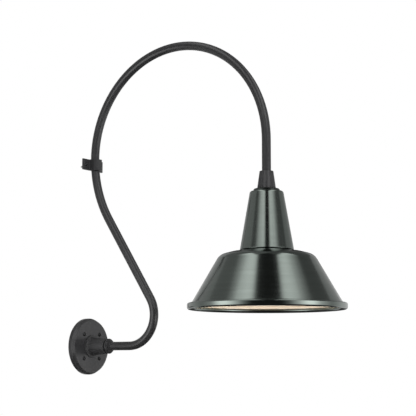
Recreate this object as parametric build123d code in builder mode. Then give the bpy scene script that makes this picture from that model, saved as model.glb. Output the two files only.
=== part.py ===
from build123d import *
import os
from math import cos, pi, radians, sin, sqrt, tan

# Gooseneck wall sconce.
# Origin: on the wall, at the centre of the wall plate's back. +Z is up and the arm reaches out along -Y.
# "Station" means a distance out from the wall, and "height" a distance above the plate's centre.

# ---------------------------------------------------------------- driving dimensions, millimetres
# Arm tube and the route of its centre line
tube_diameter = 23.4
tube_wall = 1.5
tube_start_station = 10.0
run_end_station = 152.0
lower_bend_radius = 82.0
lower_bend_angle = 123.0
diagonal_length = 266.0
rise_radius = 315.0
rise_angle = 35.0
arch_radius = 283.0
tube_end_height = 412.0

# Wall gasket and wall plate
gasket_thickness = 2.0
gasket_outer_radius = 75.5
gasket_inner_radius = 60.0
plate_radius = 77.0
plate_wall = 3.0
plate_rim_station = 12.0
plate_rim_rounding = 2.0
plate_face_rounding = 1.0
plate_bevel_width = 4.5
plate_bevel_height = 8.5

# Mounting screws of the plate
mount_circle_diameter = 93.2
mount_screw_count = 4
mount_first_angle = 45.0
mount_screw_diameter = 5.0
mount_screw_neck_diameter = 4.2
mount_screw_neck_excess = 2.0
mount_hole_diameter = 5.5
mount_head_radius = 5.8
mount_head_height = 3.8
mount_screw_reach = 20.0

# Hub and its lock nut
hub_flange_radius = 30.5
hub_flange_thickness = 3.2
hub_base_radius = 23.8
hub_front_radius = 20.8
hub_front_station = 75.0
hub_foot_fillet = 4.5
hub_edge_rounding = 0.8
hub_tail_radius = 15.0
hub_bore_clearance = 0.06
lock_nut_flats = 40.0
lock_nut_thickness = 6.5
thread_clearance = 0.05

# Gland: seal, washer and cone-nosed nut
seal_radius = 16.0
seal_length = 7.0
seal_pocket_clearance = 0.2
gland_washer_radius = 16.6
gland_washer_thickness = 4.0
gland_nut_radius = 20.6
gland_nut_flat_length = 3.0
gland_cone_end_radius = 16.0
gland_cone_length = 6.2
gland_groove_width = 0.9
gland_groove_depth = 1.2
gland_lip_radius = 15.4
gland_nose_radius = 12.4
gland_nose_length = 3.8
gland_edge_rounding = 0.5

# Tube bushing
bushing_wall = 1.6
bushing_flange_radius = 12.8
bushing_flange_thickness = 1.5
bushing_length = 9.0

# Wires inside the tube
wire_diameter = 2.9
wire_spacing = 3.3
wire_start_station = 6.0
terminal_bend_radius = 10.0
terminal_bend_angle = 40.0
earth_turn_radius = 10.5

# Wall strap, its stand-off foot and their screws
strap_height = 505.0
strap_width = 31.0
strap_half_span = 43.6
strap_thickness = 2.6
strap_side_clearance = 1.0
strap_front_clearance = 2.2
strap_crown_rounding = 9.0
strap_foot_rounding = 2.0
strap_ear_rounding = 2.0
saddle_station = 14.5
saddle_flange_thickness = 4.0
saddle_half_span = 37.0
saddle_margin = 1.0
saddle_pillar_width = 28.0
saddle_pillar_height = 22.0
saddle_groove_clearance = 0.5
strap_screw_offset = 29.0
strap_screw_diameter = 5.0
strap_hole_diameter = 5.5
strap_head_radius = 4.8
strap_head_height = 3.2
saddle_screw_diameter = 5.0
saddle_shank_diameter = 4.4
saddle_screw_head_radius = 4.8
saddle_screw_head_depth = 2.8
saddle_screw_reach = 25.0
screw_clearance = 0.05

# Collar above the shade; its floor sits below the tube's end
collar_height = 46.0
collar_floor_depth = 18.0
collar_top_radius = 17.8
collar_bottom_radius = 24.3
collar_flute_count = 12
collar_flute_radius = 2.6
collar_flute_inset = 1.3
collar_tube_clearance = 0.06
collar_edge_rounding = 1.0
set_screw_diameter = 5.0
set_screw_drop = 12.0
set_screw_proud = 0.8

# Neck housing, its top washer and the nipple
neck_height = 150.5
neck_top_radius = 41.9
neck_bottom_radius = 67.9
neck_shoulder_rounding = 5.0
neck_foot_rounding = 2.0
sheet_thickness = 1.2
neck_flange_inner_radius = 50.0
top_washer_thickness = 6.0
top_washer_radius = 33.5
top_washer_chamfer = 1.8
nipple_diameter = 17.0
nipple_bore_diameter = 12.6
nipple_engagement = 13.0
nipple_drop = 26.0
nipple_nut_flats = 28.0
nipple_nut_thickness = 6.0

# Shade
bead_outer_radius = 203.2
shade_shoulder_start_radius = 70.0
shade_shoulder_width = 51.3
shade_shoulder_drop = 13.3
shade_corner_rounding = 30.0
shade_skirt_drop = 121.9
bead_overhang = 11.0
bead_height = 16.4
bead_rounding = 7.0
bead_flare_rounding = 3.0
bead_inner_rounding = 6.0
bead_return_width = 13.7
bead_return_rise = 16.0
shade_opening_radius = 50.0
shade_screw_circle_radius = 58.0
shade_screw_count = 3
shade_screw_diameter = 4.0
shade_screw_head_radius = 4.0
shade_screw_head_height = 2.6
shade_screw_end = 2.0
shade_nut_flats = 7.0
shade_nut_thickness = 3.2

# Socket bracket and socket
bracket_leg_height = 62.8
bracket_thickness = 2.0
bracket_plate_radius = 27.0
bracket_width = 18.0
bracket_foot_length = 10.0
socket_height = 54.0
socket_ceiling_depth = 25.0
socket_top_radius = 22.0
socket_top_thickness = 14.0
socket_barrel_radius = 19.5
socket_lip_radius = 21.0
socket_lip_height = 4.0
socket_rounding = 1.2
bracket_screw_offset = 18.4
bracket_screw_diameter = 3.5
bracket_screw_head_radius = 3.2
bracket_screw_head_height = 2.2
bracket_screw_depth = 10.0
shell_inner_radius = 13.6
shell_wall = 0.5
shell_clearance = 0.25
shell_mouth_inset = 2.0
shell_hole_radius = 6.0
contact_rivet_radius = 2.0
contact_pad_radius = 3.6
contact_pad_thickness = 1.2
contact_drop = 5.2
terminal_head_radius = 3.4
terminal_head_height = 3.0
terminal_shank_radius = 1.6
terminal_shank_depth = 8.0
earth_head_radius = 3.4
earth_head_height = 2.6

# Lamp
lamp_contact_gap = 0.3
lamp_tip_radius = 4.6
lamp_tip_thickness = 1.5
lamp_insulator_height = 5.0
lamp_insulator_top_radius = 5.4
lamp_crest_radius = 13.1
lamp_root_radius = 12.3
lamp_thread_pitch = 3.63
lamp_thread_count = 5
lamp_shell_wall = 0.5
lamp_skirt_height = 5.0
lamp_bulb_radius = 30.0
lamp_length = 108.0
lamp_neck_radius = 11.6
lamp_glass_wall = 0.9
lamp_neck_length = 34.0
lamp_stem_radius = 4.0
lamp_stem_length = 30.0
lamp_button_radius = 5.6
lamp_button_thickness = 2.0
lamp_filament_count = 4
lamp_filament_circle_radius = 4.2
lamp_filament_radius = 1.0
lamp_filament_length = 34.0
lamp_filament_tilt = 15.0

# ---------------------------------------------------------------- derived dimensions
tube_radius = tube_diameter / 2
tube_bore_radius = tube_radius - tube_wall
plate_face_station = plate_rim_station + plate_bevel_height
plate_web_station = plate_face_station - plate_wall
diagonal_heading = lower_bend_angle
arch_angle = 90 + lower_bend_angle - rise_angle
hub_bore_radius = tube_radius + hub_bore_clearance
seal_start_station = hub_front_station - seal_length
gland_nut_station = hub_front_station + gland_washer_thickness
collar_bottom_height = tube_end_height - collar_floor_depth
collar_top_height = collar_bottom_height + collar_height
neck_top_height = collar_bottom_height - top_washer_thickness
shade_top_height = neck_top_height - neck_height
shade_corner_radius = shade_shoulder_start_radius + shade_shoulder_width
shade_corner_height = shade_top_height - shade_shoulder_drop
shade_skirt_end_radius = bead_outer_radius - bead_overhang
bead_top_height = shade_corner_height - shade_skirt_drop
bead_bottom_height = bead_top_height - bead_height
bead_return_radius = bead_outer_radius - bead_return_width
bead_return_height = bead_bottom_height + bead_return_rise
nipple_bottom_height = collar_bottom_height - nipple_drop
nipple_radius = nipple_diameter / 2
nipple_bore_radius = nipple_diameter / 2 + thread_clearance
bracket_top_height = neck_top_height - sheet_thickness - nipple_nut_thickness
bracket_under_height = bracket_top_height - bracket_thickness
socket_top_height = bracket_under_height - bracket_leg_height
socket_ceiling_height = socket_top_height - socket_ceiling_depth
socket_mouth_height = socket_top_height - socket_height
contact_height = socket_ceiling_height - contact_drop
lamp_top_height = contact_height - lamp_contact_gap
shell_outer_radius = shell_inner_radius + shell_wall

os.makedirs("parts", exist_ok=True)


def save(builder, name):
    """Label a finished piece and write it under its own name."""
    builder.part.label = name
    export_step(builder.part, f"parts/{name}.step")


def wall_plane(station):
    """Plane parallel to the wall at a station, facing out from the wall, with local Y up."""
    return Plane.XZ.offset(station)


def ring_about_run(outer, inner, start, end):
    """Plain ring around the horizontal run of the tube, between two stations."""
    with BuildPart() as ring:
        with BuildSketch(wall_plane(start)):
            Circle(outer)
            Circle(inner, mode=Mode.SUBTRACT)
        extrude(amount=end - start)
    return ring


def ring_about_drop(outer, inner, low, high):
    """Plain ring around the vertical drop of the tube, between two heights."""
    with BuildPart() as ring:
        with BuildSketch(drop_plane(low)):
            Circle(outer)
            Circle(inner, mode=Mode.SUBTRACT)
        extrude(amount=high - low)
    return ring


def run_profile(*points):
    """Closed profile of a piece turned about the run: each point is (radius, station)."""
    Polyline(*[(radius, -station) for radius, station in points], close=True)


# ---------------------------------------------------------------- route of the tube's centre line
with BuildLine(Plane.YZ) as arm_route:
    run = Line((-tube_start_station, 0), (-run_end_station, 0))
    lower_bend = JernArc(run @ 1, run % 1, lower_bend_radius, -lower_bend_angle)
    diagonal = Line(lower_bend @ 1, lower_bend @ 1 + (lower_bend % 1) * diagonal_length)
    rise = JernArc(diagonal @ 1, diagonal % 1, rise_radius, rise_angle)
    arch = JernArc(rise @ 1, rise % 1, arch_radius, arch_angle)
    drop = Line(arch @ 1, Vector(0, (arch @ 1).Y, tube_end_height))

reach = -(arch @ 1).Y
arch_end_height = (arch @ 1).Z
rise_centre = rise.arc_center
strap_tube_station = -rise_centre.Y - sqrt(rise_radius**2 - (strap_height - rise_centre.Z) ** 2)
strap_tube_lean = (rise_centre.Z - strap_height) / rise_radius
print("reach", round(reach, 2), "arch top", round(arch_end_height + arch_radius, 2))
print("tube centre at the strap", round(strap_tube_station, 2), "tube length", round(arm_route.wire().length, 1))


def drop_plane(height):
    """Horizontal plane at a height, centred on the vertical drop of the tube."""
    return Plane(origin=(0, -reach, height))


shade_section = Plane.XZ.offset(reach)
shade_axis = Axis((0, -reach, 0), (0, 0, 1))

# ---------------------------------------------------------------- arm tube
with BuildPart() as arm_tube:
    with BuildSketch(wall_plane(tube_start_station)):
        Circle(tube_radius)
        Circle(tube_bore_radius, mode=Mode.SUBTRACT)
    sweep(path=arm_route.wire())
save(arm_tube, "arm_tube")

# ---------------------------------------------------------------- wall gasket and wall plate
wall_gasket = ring_about_run(gasket_outer_radius, gasket_inner_radius, 0, gasket_thickness)
save(wall_gasket, "wall_gasket")

plate_bevel_radius = plate_radius - plate_bevel_width
hub_hole_radius = hub_tail_radius + thread_clearance
with BuildPart() as wall_plate:
    with BuildSketch(Plane.XY) as plate_section:
        with BuildLine():
            run_profile(
                (hub_hole_radius, plate_face_station),
                (plate_bevel_radius, plate_face_station),
                (plate_radius, plate_rim_station),
                (plate_radius, gasket_thickness),
                (plate_radius - plate_wall, gasket_thickness),
                (plate_radius - plate_wall, plate_rim_station - plate_wall),
                (plate_bevel_radius - plate_wall, plate_web_station),
                (hub_hole_radius, plate_web_station),
            )
        make_face()
        rim_corner = plate_section.vertices().sort_by_distance((plate_radius, -plate_rim_station))[0]
        fillet(rim_corner, plate_rim_rounding)
        face_corner = plate_section.vertices().sort_by_distance((plate_bevel_radius, -plate_face_station))[0]
        fillet(face_corner, plate_face_rounding)
    revolve(axis=Axis.Y)
    with BuildSketch(wall_plane(plate_web_station)):
        with PolarLocations(mount_circle_diameter / 2, mount_screw_count, start_angle=mount_first_angle):
            Circle(mount_hole_diameter / 2)
    extrude(amount=plate_wall, mode=Mode.SUBTRACT)
save(wall_plate, "wall_plate")


def dome_screw(plane, shank, head_radius, head_height):
    """Screw with a low domed head on a plane; shank lists (radius, length) back from the plane."""
    crown_radius = (head_radius**2 + head_height**2) / (2 * head_height)
    with BuildPart() as screw:
        depth = 0
        for radius, length in shank:
            with BuildSketch(plane.offset(-depth)):
                Circle(radius)
            extrude(amount=-length)
            depth += length
        with BuildSketch(Plane(origin=plane.origin, x_dir=plane.x_dir, z_dir=-plane.y_dir)):
            with BuildLine():
                Line((0, 0), (head_radius, 0))
                RadiusArc((head_radius, 0), (0, head_height), -crown_radius)
                Line((0, head_height), (0, 0))
            make_face()
        revolve(axis=Axis(plane.origin, plane.z_dir))
    return screw.part


mount_neck_length = plate_wall + mount_screw_neck_excess
mount_thread_length = plate_face_station + mount_screw_reach - mount_neck_length
mount_shank = [
    (mount_screw_neck_diameter / 2, mount_neck_length),
    (mount_screw_diameter / 2, mount_thread_length),
]
mount_places = PolarLocations(mount_circle_diameter / 2, mount_screw_count, start_angle=mount_first_angle)
with BuildPart() as mounting_screws:
    for place in mount_places.local_locations:
        seat = wall_plane(plate_face_station)
        seat.origin = seat.from_local_coords(place.position)
        add(dome_screw(seat, mount_shank, mount_head_radius, mount_head_height))
save(mounting_screws, "mounting_screws")

# ---------------------------------------------------------------- hub, lock nut and gland
hub_flange_station = plate_face_station + hub_flange_thickness
with BuildPart() as hub:
    with BuildSketch(Plane.XY) as hub_section:
        with BuildLine():
            run_profile(
                (hub_bore_radius, tube_start_station),
                (hub_tail_radius, tube_start_station),
                (hub_tail_radius, plate_face_station),
                (hub_flange_radius, plate_face_station),
                (hub_flange_radius, hub_flange_station),
                (hub_base_radius, hub_flange_station),
                (hub_front_radius, hub_front_station),
                (seal_radius + seal_pocket_clearance, hub_front_station),
                (seal_radius + seal_pocket_clearance, seal_start_station),
                (hub_bore_radius, seal_start_station),
            )
        make_face()
        hub_foot = hub_section.vertices().sort_by_distance((hub_base_radius, -hub_flange_station))[0]
        fillet(hub_foot, hub_foot_fillet)
        for edge_radius, edge_station in (
            (hub_flange_radius, hub_flange_station),
            (hub_front_radius, hub_front_station),
        ):
            hub_edge = hub_section.vertices().sort_by_distance((edge_radius, -edge_station))[0]
            fillet(hub_edge, hub_edge_rounding)
    revolve(axis=Axis.Y)
save(hub, "hub")

with BuildPart() as hub_lock_nut:
    with BuildSketch(wall_plane(plate_web_station - lock_nut_thickness)):
        RegularPolygon(lock_nut_flats / 2, 6, major_radius=False)
        Circle(hub_hole_radius, mode=Mode.SUBTRACT)
    extrude(amount=lock_nut_thickness)
save(hub_lock_nut, "hub_lock_nut")

gland_seal = ring_about_run(seal_radius, hub_bore_radius, seal_start_station, hub_front_station)
save(gland_seal, "gland_seal")

gland_washer = ring_about_run(gland_washer_radius, hub_bore_radius, hub_front_station, gland_nut_station)
save(gland_washer, "gland_washer")

gland_cone_station = gland_nut_station + gland_nut_flat_length
gland_groove_station = gland_cone_station + gland_cone_length
gland_lip_station = gland_groove_station + gland_groove_width
gland_nose_station = gland_lip_station + gland_nose_length
with BuildPart() as gland_nut:
    with BuildSketch(Plane.XY) as gland_section:
        with BuildLine():
            run_profile(
                (hub_bore_radius, gland_nut_station),
                (gland_nut_radius, gland_nut_station),
                (gland_nut_radius, gland_cone_station),
                (gland_cone_end_radius, gland_groove_station),
                (gland_lip_radius - gland_groove_depth, gland_groove_station),
                (gland_lip_radius - gland_groove_depth, gland_lip_station),
                (gland_lip_radius, gland_lip_station),
                (gland_nose_radius, gland_nose_station),
                (hub_bore_radius, gland_nose_station),
            )
        make_face()
        for edge_radius, edge_station in (
            (gland_nut_radius, gland_nut_station),
            (gland_nut_radius, gland_cone_station),
            (gland_lip_radius, gland_lip_station),
        ):
            gland_edge = gland_section.vertices().sort_by_distance((edge_radius, -edge_station))[0]
            fillet(gland_edge, gland_edge_rounding)
    revolve(axis=Axis.Y)
save(gland_nut, "gland_nut")

bushing_outer_radius = tube_bore_radius - thread_clearance
bushing_bore_radius = bushing_outer_radius - bushing_wall
with BuildPart() as tube_bushing:
    with BuildSketch(Plane.XY):
        with BuildLine():
            run_profile(
                (bushing_bore_radius, tube_start_station - bushing_flange_thickness),
                (bushing_flange_radius, tube_start_station - bushing_flange_thickness),
                (bushing_flange_radius, tube_start_station),
                (bushing_outer_radius, tube_start_station),
                (bushing_outer_radius, tube_start_station + bushing_length),
                (bushing_bore_radius, tube_start_station + bushing_length),
            )
        make_face()
    revolve(axis=Axis.Y)
save(tube_bushing, "tube_bushing")

# ---------------------------------------------------------------- wall strap and its stand-off foot
strap_half_bump = tube_radius + strap_side_clearance + strap_thickness
strap_front_station = strap_tube_station + tube_radius + strap_front_clearance + strap_thickness
strap_bump_depth = strap_front_station - saddle_station
strap_plane = Plane.XY.offset(strap_height - strap_width / 2)
with BuildPart() as wall_strap:
    with BuildSketch(strap_plane) as strap_section:
        with Locations((0, -saddle_station - strap_thickness / 2)):
            Rectangle(2 * strap_half_span, strap_thickness)
        with Locations((0, -saddle_station - strap_bump_depth / 2)):
            Rectangle(2 * strap_half_bump, strap_bump_depth)
        inside_depth = strap_bump_depth - strap_thickness
        with Locations((0, -saddle_station - inside_depth / 2)):
            Rectangle(2 * (strap_half_bump - strap_thickness), inside_depth, mode=Mode.SUBTRACT)
        inner_crown = strap_section.vertices().group_by(Axis.Y)[1]
        fillet(inner_crown, strap_crown_rounding - strap_thickness)
        outer_crown = strap_section.vertices().group_by(Axis.Y)[0]
        fillet(outer_crown, strap_crown_rounding)
        foot_row = strap_section.vertices().filter_by_position(
            Axis.Y, -saddle_station - strap_thickness - 0.01, -saddle_station - strap_thickness + 0.01
        )
        foot_corners = [v for v in foot_row if abs(v.X) < strap_half_span - strap_thickness]
        fillet(foot_corners, strap_foot_rounding)
    extrude(amount=strap_width)
    ear_corners = wall_strap.edges().filter_by(Axis.Y).group_by(Axis.X)
    fillet(ear_corners[0] + ear_corners[-1], strap_ear_rounding)
    with BuildSketch(wall_plane(saddle_station)):
        with Locations((-strap_screw_offset, strap_height), (strap_screw_offset, strap_height)):
            Circle(strap_hole_diameter / 2)
    extrude(amount=strap_thickness, mode=Mode.SUBTRACT)
save(wall_strap, "wall_strap")

saddle_groove_radius = tube_radius + saddle_groove_clearance
saddle_screw_radius = saddle_screw_diameter / 2
groove_plane = Plane(
    origin=(0, -strap_tube_station, strap_height),
    z_dir=(0, strap_tube_lean, sqrt(1 - strap_tube_lean**2)),
)
saddle_floor_station = strap_tube_station - saddle_groove_radius
with BuildPart() as saddle_base:
    with BuildSketch(wall_plane(saddle_station)):
        with Locations((0, strap_height)):
            Rectangle(2 * saddle_half_span, strap_width - 2 * saddle_margin)
    extrude(amount=-saddle_flange_thickness)
    with BuildSketch(wall_plane(0)):
        with Locations((0, strap_height)):
            Rectangle(saddle_pillar_width, saddle_pillar_height)
    extrude(amount=saddle_station - saddle_flange_thickness)
    with BuildSketch(groove_plane):
        Circle(saddle_groove_radius)
    extrude(amount=strap_width, both=True, mode=Mode.SUBTRACT)
    with BuildSketch(wall_plane(0)):
        with Locations((0, strap_height)):
            Circle(saddle_screw_radius + screw_clearance)
        with Locations((-strap_screw_offset, strap_height), (strap_screw_offset, strap_height)):
            Circle(strap_screw_diameter / 2 + screw_clearance)
    extrude(amount=saddle_station, mode=Mode.SUBTRACT)
    with BuildSketch(wall_plane(saddle_floor_station - saddle_screw_head_depth)):
        with Locations((0, strap_height)):
            Circle(saddle_screw_head_radius + screw_clearance)
    extrude(amount=saddle_station, mode=Mode.SUBTRACT)
save(saddle_base, "saddle_base")

saddle_head_station = saddle_floor_station - saddle_screw_head_depth
with BuildPart() as saddle_wall_screw:
    with BuildSketch(wall_plane(saddle_head_station)):
        with Locations((0, strap_height)):
            Circle(saddle_shank_diameter / 2)
    extrude(amount=-saddle_head_station)
    with BuildSketch(wall_plane(0)):
        with Locations((0, strap_height)):
            Circle(saddle_screw_radius)
    extrude(amount=-saddle_screw_reach)
    with BuildSketch(wall_plane(saddle_head_station)):
        with Locations((0, strap_height)):
            Circle(saddle_screw_head_radius)
    extrude(amount=saddle_screw_head_depth - strap_side_clearance)
save(saddle_wall_screw, "saddle_wall_screw")

strap_shank = [(strap_screw_diameter / 2, strap_thickness + saddle_flange_thickness)]
with BuildPart() as strap_screws:
    for side in (-1, 1):
        seat = wall_plane(saddle_station + strap_thickness)
        seat.origin = seat.from_local_coords((side * strap_screw_offset, strap_height))
        add(dome_screw(seat, strap_shank, strap_head_radius, strap_head_height))
save(strap_screws, "strap_screws")

# ---------------------------------------------------------------- collar, set screw and top washer
collar_slant = (collar_bottom_radius - collar_top_radius) / collar_height
collar_lean = Vector(-collar_slant, 0, 1).get_angle(Vector(0, 0, 1))
flute_centre_radius = (collar_top_radius + collar_bottom_radius) / 2 + collar_flute_radius - collar_flute_inset
collar_plane = drop_plane(collar_bottom_height + collar_height / 2)
with BuildPart(collar_plane) as collar:
    Cone(collar_bottom_radius, collar_top_radius, collar_height)
    fillet(collar.edges().filter_by(GeomType.CIRCLE), collar_edge_rounding)
    with PolarLocations(flute_centre_radius, collar_flute_count):
        Cylinder(collar_flute_radius, 2 * collar_height, rotation=(0, -collar_lean, 0), mode=Mode.SUBTRACT)
    with BuildSketch(drop_plane(tube_end_height)):
        Circle(tube_radius + collar_tube_clearance)
    extrude(amount=collar_height, mode=Mode.SUBTRACT)
    with BuildSketch(drop_plane(collar_bottom_height)):
        Circle(nipple_bore_radius)
    extrude(amount=tube_end_height - collar_bottom_height, mode=Mode.SUBTRACT)
    set_screw_height = collar_top_height - set_screw_drop
    with BuildSketch(Plane(origin=(0, -reach, set_screw_height), z_dir=(0, 1, 0))):
        Circle(set_screw_diameter / 2 + screw_clearance)
    extrude(amount=collar_bottom_radius, mode=Mode.SUBTRACT)
save(collar, "collar")

set_screw_seat = tube_radius + collar_tube_clearance
set_screw_face_radius = collar_top_radius + set_screw_drop * collar_slant
with BuildPart() as collar_set_screw:
    with BuildSketch(Plane(origin=(0, set_screw_seat - reach, set_screw_height), z_dir=(0, 1, 0))):
        Circle(set_screw_diameter / 2)
    extrude(amount=set_screw_face_radius + set_screw_proud - set_screw_seat)
save(collar_set_screw, "collar_set_screw")

with BuildPart() as top_washer:
    with BuildSketch(drop_plane(neck_top_height)):
        Circle(top_washer_radius)
        Circle(nipple_bore_radius, mode=Mode.SUBTRACT)
    extrude(amount=top_washer_thickness)
    chamfer(top_washer.edges().group_by(Axis.Z)[-1].sort_by(SortBy.LENGTH)[-1], top_washer_chamfer)
save(top_washer, "top_washer")

# ---------------------------------------------------------------- neck housing, a spun sheet
half_sheet = sheet_thickness / 2
neck_foot_height = shade_top_height + half_sheet
with BuildPart() as neck_housing:
    with BuildSketch(shade_section):
        with BuildLine():
            FilletPolyline(
                (nipple_bore_radius, neck_top_height - half_sheet),
                (neck_top_radius - half_sheet, neck_top_height - half_sheet),
                (neck_bottom_radius - half_sheet, neck_foot_height),
                (neck_flange_inner_radius, neck_foot_height),
                radius=[neck_shoulder_rounding, neck_foot_rounding],
            )
        trace(line_width=sheet_thickness)
    revolve(axis=shade_axis)
    with BuildSketch(drop_plane(shade_top_height)):
        with PolarLocations(shade_screw_circle_radius, shade_screw_count):
            Circle(shade_screw_diameter / 2 + screw_clearance)
    extrude(amount=sheet_thickness, mode=Mode.SUBTRACT)
save(neck_housing, "neck_housing")

# ---------------------------------------------------------------- shade, a spun sheet with a rolled bead
with BuildPart() as shade:
    with BuildSketch(shade_section):
        with BuildLine():
            FilletPolyline(
                (shade_opening_radius, shade_top_height - half_sheet),
                (shade_shoulder_start_radius, shade_top_height - half_sheet),
                (shade_corner_radius - half_sheet, shade_corner_height - half_sheet),
                (shade_skirt_end_radius - half_sheet, bead_top_height - half_sheet),
                (bead_outer_radius - half_sheet, bead_top_height - half_sheet),
                (bead_outer_radius - half_sheet, bead_bottom_height + half_sheet),
                (bead_return_radius, bead_bottom_height + half_sheet),
                (bead_return_radius, bead_return_height),
                radius=[
                    shade_corner_rounding,
                    shade_corner_rounding,
                    bead_flare_rounding,
                    bead_rounding,
                    bead_rounding,
                    bead_inner_rounding,
                ],
            )
        trace(line_width=sheet_thickness)
    revolve(axis=shade_axis)
    with BuildSketch(drop_plane(shade_top_height)):
        with PolarLocations(shade_screw_circle_radius, shade_screw_count):
            Circle(shade_screw_diameter / 2 + screw_clearance)
    extrude(amount=-sheet_thickness, mode=Mode.SUBTRACT)
save(shade, "shade")

shade_under_height = shade_top_height - sheet_thickness
shade_nut_base_height = shade_top_height + sheet_thickness
shade_nut_top_height = shade_nut_base_height + shade_nut_thickness
with BuildPart() as shade_screws:
    with BuildSketch(drop_plane(shade_under_height)):
        with PolarLocations(shade_screw_circle_radius, shade_screw_count):
            Circle(shade_screw_head_radius)
    extrude(amount=-shade_screw_head_height)
    fillet(shade_screws.edges().group_by(Axis.Z)[0], shade_screw_head_height / 2)
    with BuildSketch(drop_plane(shade_under_height)):
        with PolarLocations(shade_screw_circle_radius, shade_screw_count):
            Circle(shade_screw_diameter / 2)
    extrude(amount=shade_nut_top_height + shade_screw_end - shade_under_height)
save(shade_screws, "shade_screws")

with BuildPart() as shade_nuts:
    with BuildSketch(drop_plane(shade_nut_base_height)):
        with PolarLocations(shade_screw_circle_radius, shade_screw_count):
            RegularPolygon(shade_nut_flats / 2, 6, major_radius=False)
            Circle(shade_screw_diameter / 2 + screw_clearance, mode=Mode.SUBTRACT)
    extrude(amount=shade_nut_thickness)
save(shade_nuts, "shade_nuts")

# ---------------------------------------------------------------- nipple, its nuts and the socket bracket
nipple_top_height = collar_bottom_height + nipple_engagement
threaded_nipple = ring_about_drop(nipple_radius, nipple_bore_diameter / 2, nipple_bottom_height, nipple_top_height)
save(threaded_nipple, "threaded_nipple")

with BuildPart() as nipple_lock_nuts:
    for nut_base_height in (bracket_top_height, bracket_under_height - nipple_nut_thickness):
        with BuildSketch(drop_plane(nut_base_height)):
            RegularPolygon(nipple_nut_flats / 2, 6, major_radius=False)
            Circle(nipple_bore_radius, mode=Mode.SUBTRACT)
        extrude(amount=nipple_nut_thickness)
save(nipple_lock_nuts, "nipple_lock_nuts")

bracket_leg_offset = bracket_plate_radius - bracket_thickness / 2
bracket_foot_under = socket_top_height
with BuildPart() as socket_bracket:
    with BuildSketch(drop_plane(bracket_under_height)):
        Circle(bracket_plate_radius)
        Rectangle(2 * bracket_plate_radius, bracket_width)
        Circle(nipple_bore_radius, mode=Mode.SUBTRACT)
    extrude(amount=bracket_thickness)
    for side in (-1, 1):
        foot_centre = side * (bracket_plate_radius - bracket_foot_length / 2)
        with BuildSketch(drop_plane(bracket_foot_under)):
            with Locations((side * bracket_leg_offset, 0)):
                Rectangle(bracket_thickness, bracket_width)
        extrude(amount=bracket_under_height - bracket_foot_under)
        with BuildSketch(drop_plane(bracket_foot_under)):
            with Locations((foot_centre, 0)):
                Rectangle(bracket_foot_length, bracket_width)
            with Locations((side * bracket_screw_offset, 0)):
                Circle(bracket_screw_diameter / 2 + screw_clearance, mode=Mode.SUBTRACT)
        extrude(amount=bracket_thickness)
save(socket_bracket, "socket_bracket")

# ---------------------------------------------------------------- socket
terminal_offset = 2 * terminal_bend_radius * (1 - cos(radians(terminal_bend_angle)))
terminal_offset += 2 * terminal_bend_radius * sin(radians(terminal_bend_angle)) * tan(radians(terminal_bend_angle)) / 2
shell_cavity_radius = shell_outer_radius + shell_clearance
with BuildPart() as socket_body:
    with BuildSketch(drop_plane(socket_top_height)):
        Circle(socket_top_radius)
    extrude(amount=-socket_top_thickness)
    with BuildSketch(drop_plane(socket_mouth_height)):
        Circle(socket_barrel_radius)
    extrude(amount=socket_top_height - socket_top_thickness - socket_mouth_height)
    with BuildSketch(drop_plane(socket_mouth_height)):
        Circle(socket_lip_radius)
    extrude(amount=socket_lip_height)
    rims = socket_body.edges().filter_by(GeomType.CIRCLE).filter_by(lambda e: e.radius > socket_barrel_radius)
    fillet(rims, socket_rounding)
    with BuildSketch(drop_plane(socket_mouth_height)):
        Circle(shell_cavity_radius)
    extrude(amount=socket_ceiling_height - socket_mouth_height, mode=Mode.SUBTRACT)
    with BuildSketch(drop_plane(socket_ceiling_height)):
        Circle(contact_rivet_radius + screw_clearance)
    extrude(amount=socket_top_height - socket_ceiling_height, mode=Mode.SUBTRACT)
    with BuildSketch(drop_plane(socket_top_height)):
        with Locations((-bracket_screw_offset, 0), (bracket_screw_offset, 0)):
            Circle(bracket_screw_diameter / 2 + screw_clearance)
    extrude(amount=-bracket_screw_depth, mode=Mode.SUBTRACT)
    with BuildSketch(drop_plane(socket_top_height)):
        with Locations((-wire_spacing, terminal_offset), (wire_spacing, -terminal_offset)):
            Circle(terminal_shank_radius + screw_clearance)
    extrude(amount=-terminal_shank_depth, mode=Mode.SUBTRACT)
save(socket_body, "socket_body")

with BuildPart() as bracket_screws:
    head_seat_height = socket_top_height + bracket_thickness
    with BuildSketch(drop_plane(head_seat_height)):
        with Locations((-bracket_screw_offset, 0), (bracket_screw_offset, 0)):
            Circle(bracket_screw_head_radius)
    extrude(amount=bracket_screw_head_height)
    with BuildSketch(drop_plane(head_seat_height)):
        with Locations((-bracket_screw_offset, 0), (bracket_screw_offset, 0)):
            Circle(bracket_screw_diameter / 2)
    extrude(amount=-bracket_thickness - bracket_screw_depth)
save(bracket_screws, "bracket_screws")

with BuildPart() as screw_shell:
    with BuildSketch(drop_plane(socket_ceiling_height)):
        Circle(shell_outer_radius)
    extrude(amount=-(socket_ceiling_height - socket_mouth_height - shell_mouth_inset))
    with BuildSketch(drop_plane(socket_ceiling_height - shell_wall)):
        Circle(shell_inner_radius)
    extrude(amount=-(socket_ceiling_height - socket_mouth_height), mode=Mode.SUBTRACT)
    with BuildSketch(drop_plane(socket_ceiling_height)):
        Circle(shell_hole_radius)
    extrude(amount=-shell_wall, mode=Mode.SUBTRACT)
save(screw_shell, "screw_shell")

with BuildPart() as centre_contact:
    with BuildSketch(drop_plane(contact_height)):
        Circle(contact_pad_radius)
    extrude(amount=contact_pad_thickness)
    with BuildSketch(drop_plane(contact_height)):
        Circle(contact_rivet_radius)
    extrude(amount=socket_top_height - contact_height)
save(centre_contact, "centre_contact")

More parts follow.
